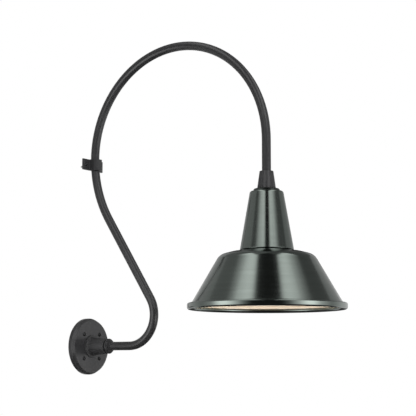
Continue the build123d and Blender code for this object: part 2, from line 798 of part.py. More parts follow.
with BuildPart() as terminal_screws:
    with BuildSketch(drop_plane(socket_top_height)):
        with Locations((-wire_spacing, terminal_offset), (wire_spacing, -terminal_offset)):
            Circle(terminal_head_radius)
    extrude(amount=terminal_head_height)
    with BuildSketch(drop_plane(socket_top_height)):
        with Locations((-wire_spacing, terminal_offset), (wire_spacing, -terminal_offset)):
            Circle(terminal_shank_radius)
    extrude(amount=-terminal_shank_depth)
save(terminal_screws, "terminal_screws")

with BuildPart() as earth_screw:
    with BuildSketch(drop_plane(bracket_under_height)):
        with Locations((0, 2 * earth_turn_radius)):
            Circle(earth_head_radius)
    extrude(amount=-earth_head_height)
save(earth_screw, "earth_screw")


# ---------------------------------------------------------------- wires, whole, from the plate to their terminals
def wire_along(side, tail):
    """One insulated wire beside the tube's centre line; tail says how it ends below the nipple."""
    bend = terminal_bend_radius
    with BuildLine(Plane.YZ.offset(side * wire_spacing)) as route:
        first = Line((-wire_start_station, 0), (-run_end_station, 0))
        turn_up = JernArc(first @ 1, first % 1, lower_bend_radius, -lower_bend_angle)
        climb = Line(turn_up @ 1, turn_up @ 1 + (turn_up % 1) * diagonal_length)
        ease = JernArc(climb @ 1, climb % 1, rise_radius, rise_angle)
        over = JernArc(ease @ 1, ease % 1, arch_radius, arch_angle)
        if tail == "earth":
            down = Line(over @ 1, Vector((over @ 1).X, -reach, nipple_bottom_height))
            back = JernArc(down @ 1, down % 1, earth_turn_radius, 180)
            Line(back @ 1, Vector((back @ 1).X, (back @ 1).Y, bracket_under_height - earth_head_height))
        else:
            terminal_top = socket_top_height + terminal_head_height
            slope_run = bend * sin(radians(terminal_bend_angle))
            bend_start = terminal_top + 4 * slope_run
            down = Line(over @ 1, Vector((over @ 1).X, -reach, bend_start))
            out = JernArc(down @ 1, down % 1, bend, -side * terminal_bend_angle)
            slant_length = slope_run / cos(radians(terminal_bend_angle))
            slant = Line(out @ 1, out @ 1 + (out % 1) * slant_length)
            align = JernArc(slant @ 1, slant % 1, bend, side * terminal_bend_angle)
            Line(align @ 1, Vector((align @ 1).X, (align @ 1).Y, terminal_top))
    with BuildPart() as wire:
        start = wall_plane(wire_start_station)
        start.origin = start.from_local_coords((side * wire_spacing, 0))
        with BuildSketch(start):
            Circle(wire_diameter / 2)
        sweep(path=route.wire())
    length = route.wire().length
    swept_area = wire.part.volume / length
    print("wire", tail, "length", round(length, 1), "area ratio", round(swept_area / (pi * wire_diameter**2 / 4), 5))
    return wire


live_wire = wire_along(-1, "live")
save(live_wire, "live_wire")
neutral_wire = wire_along(1, "neutral")
save(neutral_wire, "neutral_wire")
earth_wire = wire_along(0, "earth")
save(earth_wire, "earth_wire")

# ---------------------------------------------------------------- lamp
lamp_insulator_top = lamp_top_height - lamp_tip_thickness
lamp_shell_top = lamp_insulator_top - lamp_insulator_height
lamp_thread_height = lamp_thread_count * lamp_thread_pitch
lamp_shell_bottom = lamp_shell_top - lamp_thread_height - lamp_skirt_height
lamp_bottom_height = lamp_top_height - lamp_length
bulb_centre_height = lamp_bottom_height + lamp_bulb_radius
lamp_neck_end_height = lamp_top_height - lamp_neck_length

with BuildPart() as lamp_tip:
    with BuildSketch(drop_plane(lamp_top_height)):
        Circle(lamp_tip_radius)
    extrude(amount=-lamp_tip_thickness)
    fillet(lamp_tip.edges().group_by(Axis.Z)[-1], lamp_tip_thickness / 2)
save(lamp_tip, "lamp_tip")

with BuildPart() as lamp_insulator:
    with BuildSketch(shade_section):
        with BuildLine():
            Polyline(
                (0, lamp_insulator_top),
                (lamp_insulator_top_radius, lamp_insulator_top),
                (lamp_root_radius - lamp_shell_wall, lamp_shell_top),
                (0, lamp_shell_top),
                close=True,
            )
        make_face()
    revolve(axis=shade_axis)
save(lamp_insulator, "lamp_insulator")

thread_points = [(lamp_root_radius, lamp_shell_top)]
for turn in range(lamp_thread_count):
    crest_height = lamp_shell_top - (turn + 0.5) * lamp_thread_pitch
    thread_points.append((lamp_crest_radius, crest_height))
    thread_points.append((lamp_root_radius, crest_height - lamp_thread_pitch / 2))
with BuildPart() as lamp_shell:
    with BuildSketch(shade_section):
        with BuildLine():
            Polyline(
                *thread_points,
                (lamp_root_radius, lamp_shell_bottom),
                (lamp_root_radius - lamp_shell_wall, lamp_shell_bottom),
                (lamp_root_radius - lamp_shell_wall, lamp_shell_top - lamp_shell_wall),
                (0, lamp_shell_top - lamp_shell_wall),
                (0, lamp_shell_top),
                close=True,
            )
        make_face()
    revolve(axis=shade_axis)
save(lamp_shell, "lamp_shell")

# The bulb's neck sweeps into the ball on an arc that is tangent to both.
half_glass = lamp_glass_wall / 2
neck_middle_radius = lamp_neck_radius - half_glass
ball_middle_radius = lamp_bulb_radius - half_glass
neck_rise = lamp_neck_end_height - bulb_centre_height
neck_arc_radius = (neck_middle_radius**2 + neck_rise**2 - ball_middle_radius**2) / (
    2 * (ball_middle_radius - neck_middle_radius)
)
meet_share = ball_middle_radius / (ball_middle_radius + neck_arc_radius)
meet_radius = (neck_middle_radius + neck_arc_radius) * meet_share
meet_height = bulb_centre_height + neck_rise * meet_share
with BuildPart() as lamp_bulb:
    with BuildSketch(shade_section):
        with BuildLine():
            neck_line = Line((neck_middle_radius, lamp_shell_bottom + lamp_skirt_height), (neck_middle_radius, lamp_neck_end_height))
            flare = TangentArc((neck_middle_radius, lamp_neck_end_height), (meet_radius, meet_height), tangent=(0, -1))
            TangentArc((meet_radius, meet_height), (0, lamp_bottom_height + half_glass), tangent=flare % 1)
        trace(line_width=lamp_glass_wall)
    revolve(axis=shade_axis)
save(lamp_bulb, "lamp_bulb")

lamp_stem_end_height = lamp_shell_top - lamp_shell_wall - lamp_stem_length
with BuildPart() as lamp_stem:
    with BuildSketch(drop_plane(lamp_stem_end_height)):
        Circle(lamp_stem_radius)
    extrude(amount=lamp_stem_length)
    with BuildSketch(drop_plane(lamp_stem_end_height)):
        Circle(lamp_button_radius)
    extrude(amount=lamp_button_thickness)
save(lamp_stem, "lamp_stem")

filament_top_height = lamp_stem_end_height - lamp_filament_radius * sin(radians(lamp_filament_tilt))
with BuildPart(drop_plane(filament_top_height)) as lamp_filaments:
    with PolarLocations(lamp_filament_circle_radius, lamp_filament_count):
        Cylinder(
            lamp_filament_radius,
            lamp_filament_length,
            rotation=(0, -lamp_filament_tilt, 0),
            align=(Align.CENTER, Align.CENTER, Align.MAX),
        )
save(lamp_filaments, "lamp_filaments")
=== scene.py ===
"""Looks of the gooseneck wall sconce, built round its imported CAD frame.

Lengths are millimetres, apart from names that end in _M or _m, which are metres."""

import bpy
from math import atan2, cos, pi, radians, sin, sqrt, tan
from mathutils import Matrix, Vector


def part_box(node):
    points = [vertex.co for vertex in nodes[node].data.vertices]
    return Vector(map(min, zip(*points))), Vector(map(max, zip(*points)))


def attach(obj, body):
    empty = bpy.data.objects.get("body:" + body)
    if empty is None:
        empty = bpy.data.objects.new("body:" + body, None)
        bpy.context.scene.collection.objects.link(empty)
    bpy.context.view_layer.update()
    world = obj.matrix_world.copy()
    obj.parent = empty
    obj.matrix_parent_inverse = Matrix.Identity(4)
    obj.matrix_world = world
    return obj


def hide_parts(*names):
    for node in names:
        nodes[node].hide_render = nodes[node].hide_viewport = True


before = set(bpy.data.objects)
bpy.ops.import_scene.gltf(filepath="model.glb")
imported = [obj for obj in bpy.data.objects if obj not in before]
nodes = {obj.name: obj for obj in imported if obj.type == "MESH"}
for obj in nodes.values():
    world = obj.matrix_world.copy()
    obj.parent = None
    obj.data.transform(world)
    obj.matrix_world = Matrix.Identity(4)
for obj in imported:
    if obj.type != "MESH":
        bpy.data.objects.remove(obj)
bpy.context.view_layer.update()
MM = 0.001

# ---------------------------------------------------------------- sizes shared with the CAD
neck_low, neck_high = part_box("neck_housing")
shade_low, shade_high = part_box("shade")
REACH = -(neck_low.y + neck_high.y) / 2 / MM
SHADE_TOP = shade_high.z / MM
NECK_TOP = neck_high.z / MM
PLATE_FACE = 20.5
STRAP_FACE = 17.1
STRAP_HEIGHT = 505.0
SHEET = 1.2
NIPPLE_BORE = 8.55

# ---------------------------------------------------------------- camera of the photograph
CAMERA_AT = (-2903.87, -2405.07, -80.25)
CAMERA_TURN = -55.5
CAMERA_PITCH = 7.0836
IMAGE_PX = 416
FOCAL_PX = 1350.0
SENSOR = 36.0
CLIP_START_M = 0.1
CLIP_END_M = 60.0

camera_data = bpy.data.cameras.new("camera")
camera_data.sensor_fit = "HORIZONTAL"
camera_data.sensor_width = SENSOR
camera_data.lens = SENSOR * FOCAL_PX / IMAGE_PX
camera_data.clip_start = CLIP_START_M
camera_data.clip_end = CLIP_END_M
camera = bpy.data.objects.new("camera", camera_data)
camera.location = Vector(CAMERA_AT) * MM
camera.rotation_euler = (radians(90 + CAMERA_PITCH), 0, radians(CAMERA_TURN))
bpy.context.scene.collection.objects.link(camera)
bpy.context.scene.camera = camera


# ---------------------------------------------------------------- materials
NOISE_DETAIL = 2.0
# The middle of a noise, where nearly all its values lie.
NOISE_LOW = 0.3
NOISE_HIGH = 0.7
# The grain of the roughness is this many times coarser than the grain of the bump.
ROUGH_COARSER = 3
WHITE = (1, 1, 1, 1)


class Nodes:
    """A material's node tree, with one short call for each node."""

    def __init__(self, name):
        self.material = bpy.data.materials.new(name)
        self.material.use_nodes = True
        self.tree = self.material.node_tree
        self.shader = self.tree.nodes["Principled BSDF"]

    def add(self, kind, settings=(), **inputs):
        node = self.tree.nodes.new(kind)
        for key, value in dict(settings).items():
            setattr(node, key, value)
        for key, value in inputs.items():
            self.set(node.inputs[key.replace("_", " ")], value)
        return node

    def set(self, socket, value):
        if isinstance(value, bpy.types.NodeSocket):
            self.tree.links.new(value, socket)
        else:
            socket.default_value = value

    def noise(self, scale, stretch):
        """Noise between 0 and 1, in object coordinates; scale is in features to the metre."""
        place = self.add("ShaderNodeTexCoord").outputs["Object"]
        mapping = self.add("ShaderNodeMapping", Vector=place, Scale=stretch)
        noise = self.add(
            "ShaderNodeTexNoise", Vector=mapping.outputs[0], Scale=scale, Detail=NOISE_DETAIL
        )
        return noise.outputs["Fac"]

    def spread(self, factor, low, high):
        """The middle of a noise spread over low to high."""
        node = self.add(
            "ShaderNodeMapRange",
            Value=factor,
            From_Min=NOISE_LOW,
            From_Max=NOISE_HIGH,
            To_Min=low,
            To_Max=high,
        )
        return node.outputs[0]

    def between(self, factor, colour_a, colour_b):
        """A colour from colour_a at factor 0 to colour_b at factor 1."""
        node = self.add("ShaderNodeMix", {"data_type": "RGBA"})
        self.set(node.inputs["Factor"], factor)
        # Sockets 6 and 7 are the colours; the ones before them serve other data types.
        self.set(node.inputs[6], (*colour_a, 1))
        self.set(node.inputs[7], (*colour_b, 1))
        return node.outputs[2]

    def finish(self, **sockets):
        for key, value in sockets.items():
            self.set(self.shader.inputs[key.replace("_", " ")], value)
        return self.material


def surface(name, dark, light, rough, grain, bump_mm, mottle=30.0, stretch=(1, 1, 1), **sockets):
    """Colour between dark and light in broad patches, roughness and bump in fine grain.

    grain and mottle are features to the metre, rough is the range of the roughness, and sockets
    are constants for the shader."""
    made = Nodes(name)
    patches = made.spread(made.noise(mottle, stretch), 0.0, 1.0)
    fine = made.noise(grain, stretch)
    bump = made.add("ShaderNodeBump", Height=fine, Strength=1.0, Distance=bump_mm * MM)
    return made.finish(
        Base_Color=made.between(patches, dark, light),
        Roughness=made.spread(made.noise(grain / ROUGH_COARSER, stretch), *rough),
        Normal=bump.outputs[0],
        **sockets,
    )


SPUN = (0.04, 0.04, 1.0)
DRAWN = (1, 1, 0.1)
GLOSSY_BLACK = {"mottle": 9.0, "Specular_IOR_Level": 0.4}
GLASS = {"Transmission_Weight": 1.0, "IOR": 1.5}
# Name, dark colour, light colour, roughness, grain and bump, then what differs from the defaults.
LOOKS = (
    (
        ("black_paint", (0.020, 0.020, 0.021), (0.028, 0.028, 0.029), (0.26, 0.34), 1300.0, 0.015),
        GLOSSY_BLACK,
    ),
    (
        ("black_screw", (0.008, 0.008, 0.009), (0.014, 0.014, 0.015), (0.20, 0.28), 1500.0, 0.02),
        {"mottle": 60.0, "Specular_IOR_Level": 0.4},
    ),
    (
        ("black_casting", (0.022, 0.022, 0.023), (0.030, 0.030, 0.031), (0.44, 0.54), 1300.0, 0.015),
        GLOSSY_BLACK,
    ),
    (
        ("gunmetal_paint", (0.145, 0.165, 0.152), (0.160, 0.182, 0.168), (0.14, 0.18), 900.0, 0.0010),
        {"mottle": 120.0, "stretch": SPUN, "Metallic": 1.0},
    ),
    # gunmetal_ring is the shade's gunmetal made darker: painted shade on the ring under the collar.
    (
        ("gunmetal_ring", (0.055, 0.063, 0.058), (0.065, 0.074, 0.068), (0.20, 0.26), 900.0, 0.002),
        {"mottle": 200.0, "stretch": SPUN, "Metallic": 1.0},
    ),
    (
        ("zinc_steel", (0.46, 0.46, 0.45), (0.60, 0.60, 0.58), (0.26, 0.42), 1200.0, 0.012),
        {"mottle": 90.0, "stretch": DRAWN, "Metallic": 1.0},
    ),
    (
        ("brass_part", (0.62, 0.44, 0.18), (0.72, 0.54, 0.26), (0.18, 0.30), 900.0, 0.008),
        {"Metallic": 1.0},
    ),
    (
        ("earth_green", (0.10, 0.30, 0.12), (0.16, 0.38, 0.16), (0.28, 0.40), 900.0, 0.01),
        {"Metallic": 0.6},
    ),
    (
        ("black_rubber", (0.018, 0.018, 0.019), (0.03, 0.03, 0.031), (0.70, 0.90), 700.0, 0.08),
        {},
    ),
    (
        ("nylon", (0.72, 0.70, 0.64), (0.80, 0.79, 0.74), (0.45, 0.60), 600.0, 0.04),
        {},
    ),
    (
        ("porcelain", (0.80, 0.79, 0.75), (0.86, 0.85, 0.81), (0.10, 0.20), 160.0, 0.10),
        {"Coat_Weight": 0.6, "Coat_Roughness": 0.06},
    ),
    (
        ("wire_black", (0.018, 0.018, 0.018), (0.024, 0.024, 0.024), (0.28, 0.38), 700.0, 0.02),
        {},
    ),
    (
        ("wire_white", (0.74, 0.74, 0.72), (0.80, 0.80, 0.78), (0.28, 0.38), 700.0, 0.02),
        {},
    ),
    (
        ("wire_green", (0.035, 0.28, 0.09), (0.05, 0.34, 0.12), (0.28, 0.38), 700.0, 0.02),
        {},
    ),
    (
        ("lamp_cap", (0.70, 0.70, 0.68), (0.80, 0.80, 0.78), (0.24, 0.36), 900.0, 0.008),
        {"stretch": SPUN, "Metallic": 1.0},
    ),
    (
        ("lamp_black_glass", (0.02, 0.02, 0.025), (0.03, 0.03, 0.038), (0.06, 0.14), 300.0, 0.03),
        {},
    ),
    (
        ("lamp_glass", (0.97, 0.98, 0.97), (1.0, 1.0, 1.0), (0.0, 0.01), 60.0, 0.01),
        GLASS,
    ),
    (
        ("lamp_stem_glass", (0.90, 0.93, 0.91), (0.96, 0.98, 0.96), (0.02, 0.06), 200.0, 0.02),
        GLASS,
    ),
    (
        ("filament_yellow", (0.86, 0.56, 0.12), (0.92, 0.66, 0.18), (0.45, 0.60), 900.0, 0.04),
        {"Emission_Color": (1.0, 0.62, 0.26, 1), "Emission_Strength": 2.0},
    ),
    (
        ("cream_enamel", (0.90, 0.78, 0.63), (0.93, 0.81, 0.66), (0.28, 0.38), 500.0, 0.02),
        {"mottle": 12.0, "stretch": (0.3, 0.3, 1.0)},
    ),
)
looks = {plain[0]: surface(*plain, **more) for plain, more in LOOKS}
# Solids whose look is not the one that their record names: the gland washer takes the darker screw
# black as painted shade in its groove in front of the hub, and the hub a rougher black casting.
OWN_LOOKS = {"gland_washer": "black_screw", "hub": "black_casting"}
for name, node in nodes.items():
    for holder in node.material_slots:
        look = OWN_LOOKS.get(name, holder.material.name.split(".")[0])
        holder.material = looks[look]


# ---------------------------------------------------------------- mesh builders
ARC_STEP = 3.0
SPUN_SEGMENTS = 256
# Two faces that meet at a greater angle than this, in degrees, keep a sharp edge.
SHARP_ANGLE = 35.0


def rounded_path(points, radii):
    """Points of a line with rounded corners, each with the normal on its left."""
    ends = [Vector(p) for p in points]
    path = []

    def push(point, along):
        path.append((point, Vector((-along.y, along.x))))

    push(ends[0], (ends[1] - ends[0]).normalized())
    for before, corner, after, radius in zip(ends, ends[1:], ends[2:], radii):
        come, go = (corner - before).normalized(), (after - corner).normalized()
        turn = atan2(come.x * go.y - come.y * go.x, come.dot(go))
        start = corner - come * radius * tan(abs(turn) / 2)
        centre = start + Vector((-come.y, come.x)) * (radius if turn > 0 else -radius)
        count = max(2, round(abs(turn) / radians(ARC_STEP)))
        for i in range(count + 1):
            spin = Matrix.Rotation(turn * i / count, 2)
            push(centre + spin @ (start - centre), spin @ come)
    push(ends[-1], (ends[-1] - ends[-2]).normalized())
    return path


def spun_sheet(name, points, radii, materials, paint_rise=None):
    """Sheet spun about the drop: points are the sheet's middle line, left of it is the outside.

    With paint_rise, the inner side of the last run has the outside's paint up to that far above
    its start."""
    path = rounded_path(points, radii)
    if paint_rise:
        seam = Vector((points[-1][0], points[-2][1] + paint_rise))
        path.insert(-1, (seam, path[-1][1]))
    outer = [(p + n * SHEET / 2, n) for p, n in path]
    inner = [(p - n * SHEET / 2, -n) for p, n in reversed(path)]
    loop = outer + inner
    bands = []
    for i, (point, normal) in enumerate(loop):
        following, next_normal = loop[(i + 1) % len(loop)]
        edge = i in (len(outer) - 1, len(loop) - 1)
        if edge:
            along = (following - point).normalized()
            normal = next_normal = Vector((-along.y, along.x))
        inside = i >= len(outer) - (2 if paint_rise else 1)
        bands.append((normal, next_normal, 1 if inside and i != len(loop) - 1 else 0))
    turns = [2 * pi * k / SPUN_SEGMENTS for k in range(SPUN_SEGMENTS)]
    verts = [
        Vector((p.x * cos(t), p.x * sin(t) - REACH, p.y)) * MM
        for p, _ in loop
        for t in turns
    ]
    faces, normals, indexes = [], [], []
    for i, (normal, next_normal, index) in enumerate(bands):
        j = (i + 1) % len(loop)
        low, high = i * SPUN_SEGMENTS, j * SPUN_SEGMENTS
        for k in range(SPUN_SEGMENTS):
            m = (k + 1) % SPUN_SEGMENTS
            faces.append((low + k, high + k, high + m, low + m))
            indexes.append(index)
            for out, turn in ((normal, k), (next_normal, k), (next_normal, m), (normal, m)):
                normals.append((out.x * cos(turns[turn]), out.x * sin(turns[turn]), out.y))
    mesh = bpy.data.meshes.new(name)
    mesh.from_pydata(verts, [], faces)
    mesh.polygons.foreach_set("use_smooth", [True] * len(faces))
    mesh.polygons.foreach_set("material_index", indexes)
    mesh.normals_split_custom_set(normals)
    return placed(name, mesh, materials)


def placed(name, mesh, materials):
    """The mesh as an object of the scene, with its materials."""
    for material in materials:
        mesh.materials.append(looks[material])
    mesh.update()
    piece = bpy.data.objects.new(name, mesh)
    bpy.context.scene.collection.objects.link(piece)
    return piece


def skin(name, stacks, materials):
    """One mesh of stacks of rings with as many points each; the two ends of a stack are closed."""
    verts, faces = [], []
    for rings in stacks:
        base, count = len(verts), len(rings[0])
        for ring in rings:
            verts.extend(Vector(p) * MM for p in ring)
        for i in range(len(rings) - 1):
            for k in range(count):
                m = (k + 1) % count
                low, high = base + i * count, base + (i + 1) * count
                faces.append((low + k, low + m, high + m, high + k))
        for start, flip in ((base, True), (base + (len(rings) - 1) * count, False)):
            ring = list(range(start, start + count))
            faces.append(tuple(reversed(ring)) if flip else tuple(ring))
    mesh = bpy.data.meshes.new(name)
    mesh.from_pydata(verts, [], faces)
    mesh.polygons.foreach_set("use_smooth", [True] * len(faces))
    mesh.set_sharp_from_angle(angle=radians(SHARP_ANGLE))
    return placed(name, mesh, materials)


def thread(height, turn, pitch):
    """1 on the thread's crest and 0 in its root."""
    return (1 + cos(2 * pi * height / pitch - turn)) / 2


# ---------------------------------------------------------------- shade and neck, spun sheets
SEAT_RADIUS = 63.0
SEAT_RISE = 5.0
SEAT_TAPER = 1.0
SHADE_START_RADIUS = 89.5
SHADE_CORNER_RADIUS = 121.3
SHADE_CORNER_DROP = 13.3
SKIRT_DROP = 121.9
SKIRT_END_RADIUS = 192.2
BEAD_RADIUS = 203.2
BEAD_HEIGHT = 16.4
BEAD_RETURN_RADIUS = 189.5
BEAD_RETURN_RISE = 16.0
BEAD_PAINT_RISE = 10.0
NECK_OPENING_RADIUS = 50.0
NECK_TOP_RADIUS = 42.7
NECK_BOTTOM_RADIUS = 68.8
# Roundings of the corners: the seat's edge and foot, the start of the slope, the shoulder, the
# end of the skirt, and the bead's upper, lower and inner corner.
SHADE_ROUNDINGS = (0.8, 0.8, 20.0, 30.0, 2.0, 3.5, 4.5, 6.0)
# The neck's upper and lower corner.
NECK_ROUNDINGS = (5.0, 1.0)
HALF = SHEET / 2
corner_height = SHADE_TOP - SHADE_CORNER_DROP
bead_top = corner_height - SKIRT_DROP
bead_bottom = bead_top - BEAD_HEIGHT
shade = spun_sheet(
    "shade_spun",
    [
        (NECK_OPENING_RADIUS, SHADE_TOP - HALF),
        (SEAT_RADIUS, SHADE_TOP - HALF),
        (SEAT_RADIUS + SEAT_TAPER, SHADE_TOP - HALF - SEAT_RISE),
        (SHADE_START_RADIUS, SHADE_TOP - HALF - SEAT_RISE),
        (SHADE_CORNER_RADIUS - HALF, corner_height - HALF),
        (SKIRT_END_RADIUS - HALF, bead_top - HALF),
        (BEAD_RADIUS - HALF, bead_top - HALF),
        (BEAD_RADIUS - HALF, bead_bottom + HALF),
        (BEAD_RETURN_RADIUS, bead_bottom + HALF),
        (BEAD_RETURN_RADIUS, bead_bottom + BEAD_RETURN_RISE),
    ],
    SHADE_ROUNDINGS,
    ["gunmetal_paint", "cream_enamel"],
    paint_rise=BEAD_PAINT_RISE,
)
neck = spun_sheet(
    "neck_spun",
    [
        (NIPPLE_BORE, NECK_TOP - HALF),
        (NECK_TOP_RADIUS - HALF, NECK_TOP - HALF),
        (NECK_BOTTOM_RADIUS - HALF, SHADE_TOP + HALF),
        (NECK_OPENING_RADIUS, SHADE_TOP + HALF),
    ],
    NECK_ROUNDINGS,
    ["gunmetal_paint", "cream_enamel"],
)
for piece, node in ((shade, "shade"), (neck, "neck_housing")):
    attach(piece, "fixture")
    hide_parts(node)

# ---------------------------------------------------------------- screws with a cross recess
# The recess, as shares of the head's radius and height.
RECESS_ARM = 0.52
RECESS_WIDTH = 0.15
RECESS_DEPTH = 0.6
RECESS_TAPER = 0.72
RECESS_MIDDLE = 0.05
# Rings of the dome, as shares of the way from the recess to the head's edge.
DOME_RINGS = (0.85, 0.7, 0.5, 0.25, 0.0)
SCREW_POINTS = 48
THREAD_STEPS = 6
TIP_LENGTH = 0.5
TIP_TAPER = 0.4
TINY = 1e-9
plain_turns = [2 * pi * k / SCREW_POINTS for k in range(SCREW_POINTS)]
arm_turn = atan2(RECESS_WIDTH, RECESS_ARM)
corner_turns = [
    quarter * pi / 2 + offset
    for quarter in range(4)
    for offset in (arm_turn, pi / 4, pi / 2 - arm_turn)
]
screw_turns = sorted({round(t, 5) for t in plain_turns + corner_turns})


def cross_radius(turn):
    """Distance from the middle of a head of radius 1 to the edge of its cross recess."""
    c, s = max(abs(cos(turn)), TINY), max(abs(sin(turn)), TINY)
    along_x = min(RECESS_ARM / c, RECESS_WIDTH / s)
    along_y = min(RECESS_WIDTH / c, RECESS_ARM / s)
    return max(along_x, along_y)


def screw_rings(head_radius, head_height, shank, pitch):
    """Rings from the shank's tip to the bottom of the recess.

    shank lists height, crest radius and root radius, from the low end up to the head."""
    crown = (head_radius**2 + head_height**2) / (2 * head_height)

    def ring(height, radius):
        """Ring whose radius depends on the turn, and whose height depends on the radius."""
        return [(radius(t) * cos(t), radius(t) * sin(t), height(radius(t))) for t in screw_turns]

    def flat(height, radius):
        return ring(lambda r: height, lambda t: radius)

    def dome(share):
        """Ring on the dome, share of the way from the recess's edge to the head's."""
        return ring(
            lambda r: sqrt(crown**2 - r**2) - crown + head_height,
            lambda t: head_radius * (share + (1 - share) * cross_radius(t)),
        )

    def threaded(height, crest, root):
        return ring(lambda r: height, lambda t: root + (crest - root) * thread(height, t, pitch))

    rings = [flat(shank[0][0] - TIP_LENGTH, shank[0][2] - TIP_TAPER)]
    for (low, crest, root), (high, *_) in zip(shank, shank[1:]):
        steps = max(1, round((high - low) / pitch * THREAD_STEPS)) if crest > root else 1
        rings += [threaded(low + (high - low) * i / steps, crest, root) for i in range(steps + 1)]
    rings.append(flat(0.0, shank[-1][1]))
    rings.append(flat(0.0, head_radius))
    rings += [dome(share) for share in DOME_RINGS]
    recess_floor = head_height * (1 - RECESS_DEPTH)
    taper = head_radius * RECESS_TAPER
    rings.append(ring(lambda r: recess_floor, lambda t: taper * cross_radius(t)))
    rings.append(flat(recess_floor, head_radius * RECESS_MIDDLE))
    return rings


def turned(rings, origin, outward, up, spin):
    """Rings made about local Z set at an origin, facing outward, and turned about that axis."""
    z = Vector(outward).normalized()
    x = Vector(up).normalized()
    y = z.cross(x)
    lean = Matrix((x, y, z)).transposed() @ Matrix.Rotation(radians(spin), 3, "Z")
    return [[Vector(origin) + lean @ Vector(p) for p in ring] for ring in rings]


FROM_WALL = (0, -1, 0)
UPWARD = (0, 0, 1)

MOUNT_CIRCLE_RADIUS = 46.6
MOUNT_FIRST_TURN = 45
MOUNT_HEAD_RADIUS = 5.8
MOUNT_HEAD_HEIGHT = 3.8
MOUNT_SHANK = ((-40.0, 2.5, 2.1), (-5.6, 2.1, 2.1), (0.0, 2.1, 2.1))
MOUNT_PITCH = 1.6
# How far each screw is turned, in degrees: no two stop alike.
MOUNT_SPINS = (17.0, 62.0, 38.0, 81.0)
mount_rings = screw_rings(MOUNT_HEAD_RADIUS, MOUNT_HEAD_HEIGHT, MOUNT_SHANK, MOUNT_PITCH)
mounts = []
for i, spin in enumerate(MOUNT_SPINS):
    turn = radians(MOUNT_FIRST_TURN + 90 * i)
    at = (MOUNT_CIRCLE_RADIUS * cos(turn), -PLATE_FACE, MOUNT_CIRCLE_RADIUS * sin(turn))
    mounts.append(turned(mount_rings, at, FROM_WALL, UPWARD, spin))
mount_screws = skin("mount_screws_crossed", mounts, ["black_screw"])

STRAP_SCREW_SIDE = 29.0
STRAP_HEAD_RADIUS = 4.8
STRAP_HEAD_HEIGHT = 3.2
STRAP_SHANK = ((-6.0, 2.5, 2.2), (0.0, 2.5, 2.5))
STRAP_PITCH = 1.0
STRAP_SPINS = (24.0, 71.0)
strap_rings = screw_rings(STRAP_HEAD_RADIUS, STRAP_HEAD_HEIGHT, STRAP_SHANK, STRAP_PITCH)
straps = []
for side, spin in zip((-1, 1), STRAP_SPINS):
    at = (side * STRAP_SCREW_SIDE, -STRAP_FACE, STRAP_HEIGHT)
    straps.append(turned(strap_rings, at, FROM_WALL, UPWARD, spin))
strap_screws = skin("strap_screws_crossed", straps, ["black_screw"])
for piece, node in ((mount_screws, "mounting_screws"), (strap_screws, "strap_screws")):
    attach(piece, "fixture")
    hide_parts(node)

# ---------------------------------------------------------------- studio: lamps, flags, floor and world
TARGET_HEIGHT = 150.0
TARGET = Vector((0, -REACH, TARGET_HEIGHT)) * MM
toward = Vector((CAMERA_AT[0], CAMERA_AT[1] + REACH, 0)).normalized()
sideways = Vector((0, 0, 1)).cross(toward)
to_world = Matrix((toward, sideways, (0, 0, 1))).transposed()
# Two banks of lamps hang over the camera's side with a dark gap between them. Each is cut into
# slices from back to front, whose places x are metres from the target towards the camera.
BANK_FRONT_M = 4.2
BANK_BACK_M = -0.4
BANK_SLICES = 4
BANK_HEIGHT_M = 2.8
BANK_SLOPE = -0.245
BANK_RADIANCE = 2.05
# Share of a bank's width, from its inner edge, and share of its radiance there.
BANK_FALL = (
    (0.0, 0.35),
    (0.10, 0.95),
    (0.20, 1.0),
    (0.40, 0.80),
    (0.62, 0.46),
    (0.82, 0.20),
    (1.0, 0.04),
)
# Side, then the inner and the outer edge: metres off the middle at x = 0, and the change with x.
BANKS = (
    (-1, (0.79, -0.093), (2.34, 0.583)),
    (1, (0.81, -0.037), (2.69, 0.575)),
)


def fall_off(lamp, side):
    """Dim a bank's lamp towards its edges, by the place across it."""
    lamp.use_nodes = True
    lamp_tree = lamp.node_tree
    place = lamp_tree.nodes.new("ShaderNodeNewGeometry")
    split = lamp_tree.nodes.new("ShaderNodeSeparateXYZ")
    ramp = lamp_tree.nodes.new("ShaderNodeValToRGB")
    ramp.color_ramp.interpolation = "EASE"
    stops = ramp.color_ramp.elements
    while len(stops) < len(BANK_FALL):
        stops.new(0.5)
    order = BANK_FALL
    if side < 0:
        order = [(1 - at, share) for at, share in reversed(BANK_FALL)]
    for stop, (at, share) in zip(stops, order):
        stop.position = at
        stop.color = (share, share, share, 1)
    lamp_tree.links.new(place.outputs["Parametric"], split.inputs[0])
    lamp_tree.links.new(split.outputs["Y"], ramp.inputs[0])
    lamp_tree.links.new(ramp.outputs[0], lamp_tree.nodes["Emission"].inputs["Strength"])


along = Vector((1, 0, BANK_SLOPE)).normalized()
up = Vector((-along.z, 0, along.x))
slice_m = (BANK_FRONT_M - BANK_BACK_M) / BANK_SLICES
slice_length = slice_m / along.x
for side, inner, outer in BANKS:
    for i in range(BANK_SLICES):
        x = BANK_BACK_M + slice_m * (i + 0.5)
        near, far = inner[0] + inner[1] * x, outer[0] + outer[1] * x
        lamp = bpy.data.lights.new("bank", "AREA")
        lamp.shape = "RECTANGLE"
        lamp.size = slice_length
        lamp.size_y = far - near
        lamp.energy = pi * BANK_RADIANCE * slice_length * (far - near)
        fall_off(lamp, side)
        holder = bpy.data.objects.new("bank", lamp)
        at = TARGET + to_world @ Vector((x, side * (near + far) / 2, BANK_HEIGHT_M + x * BANK_SLOPE))
        axes = Matrix((to_world @ along, to_world @ up.cross(along), to_world @ up)).transposed()
        holder.matrix_world = Matrix.Translation(at) @ axes.to_4x4()
        bpy.context.scene.collection.objects.link(holder)


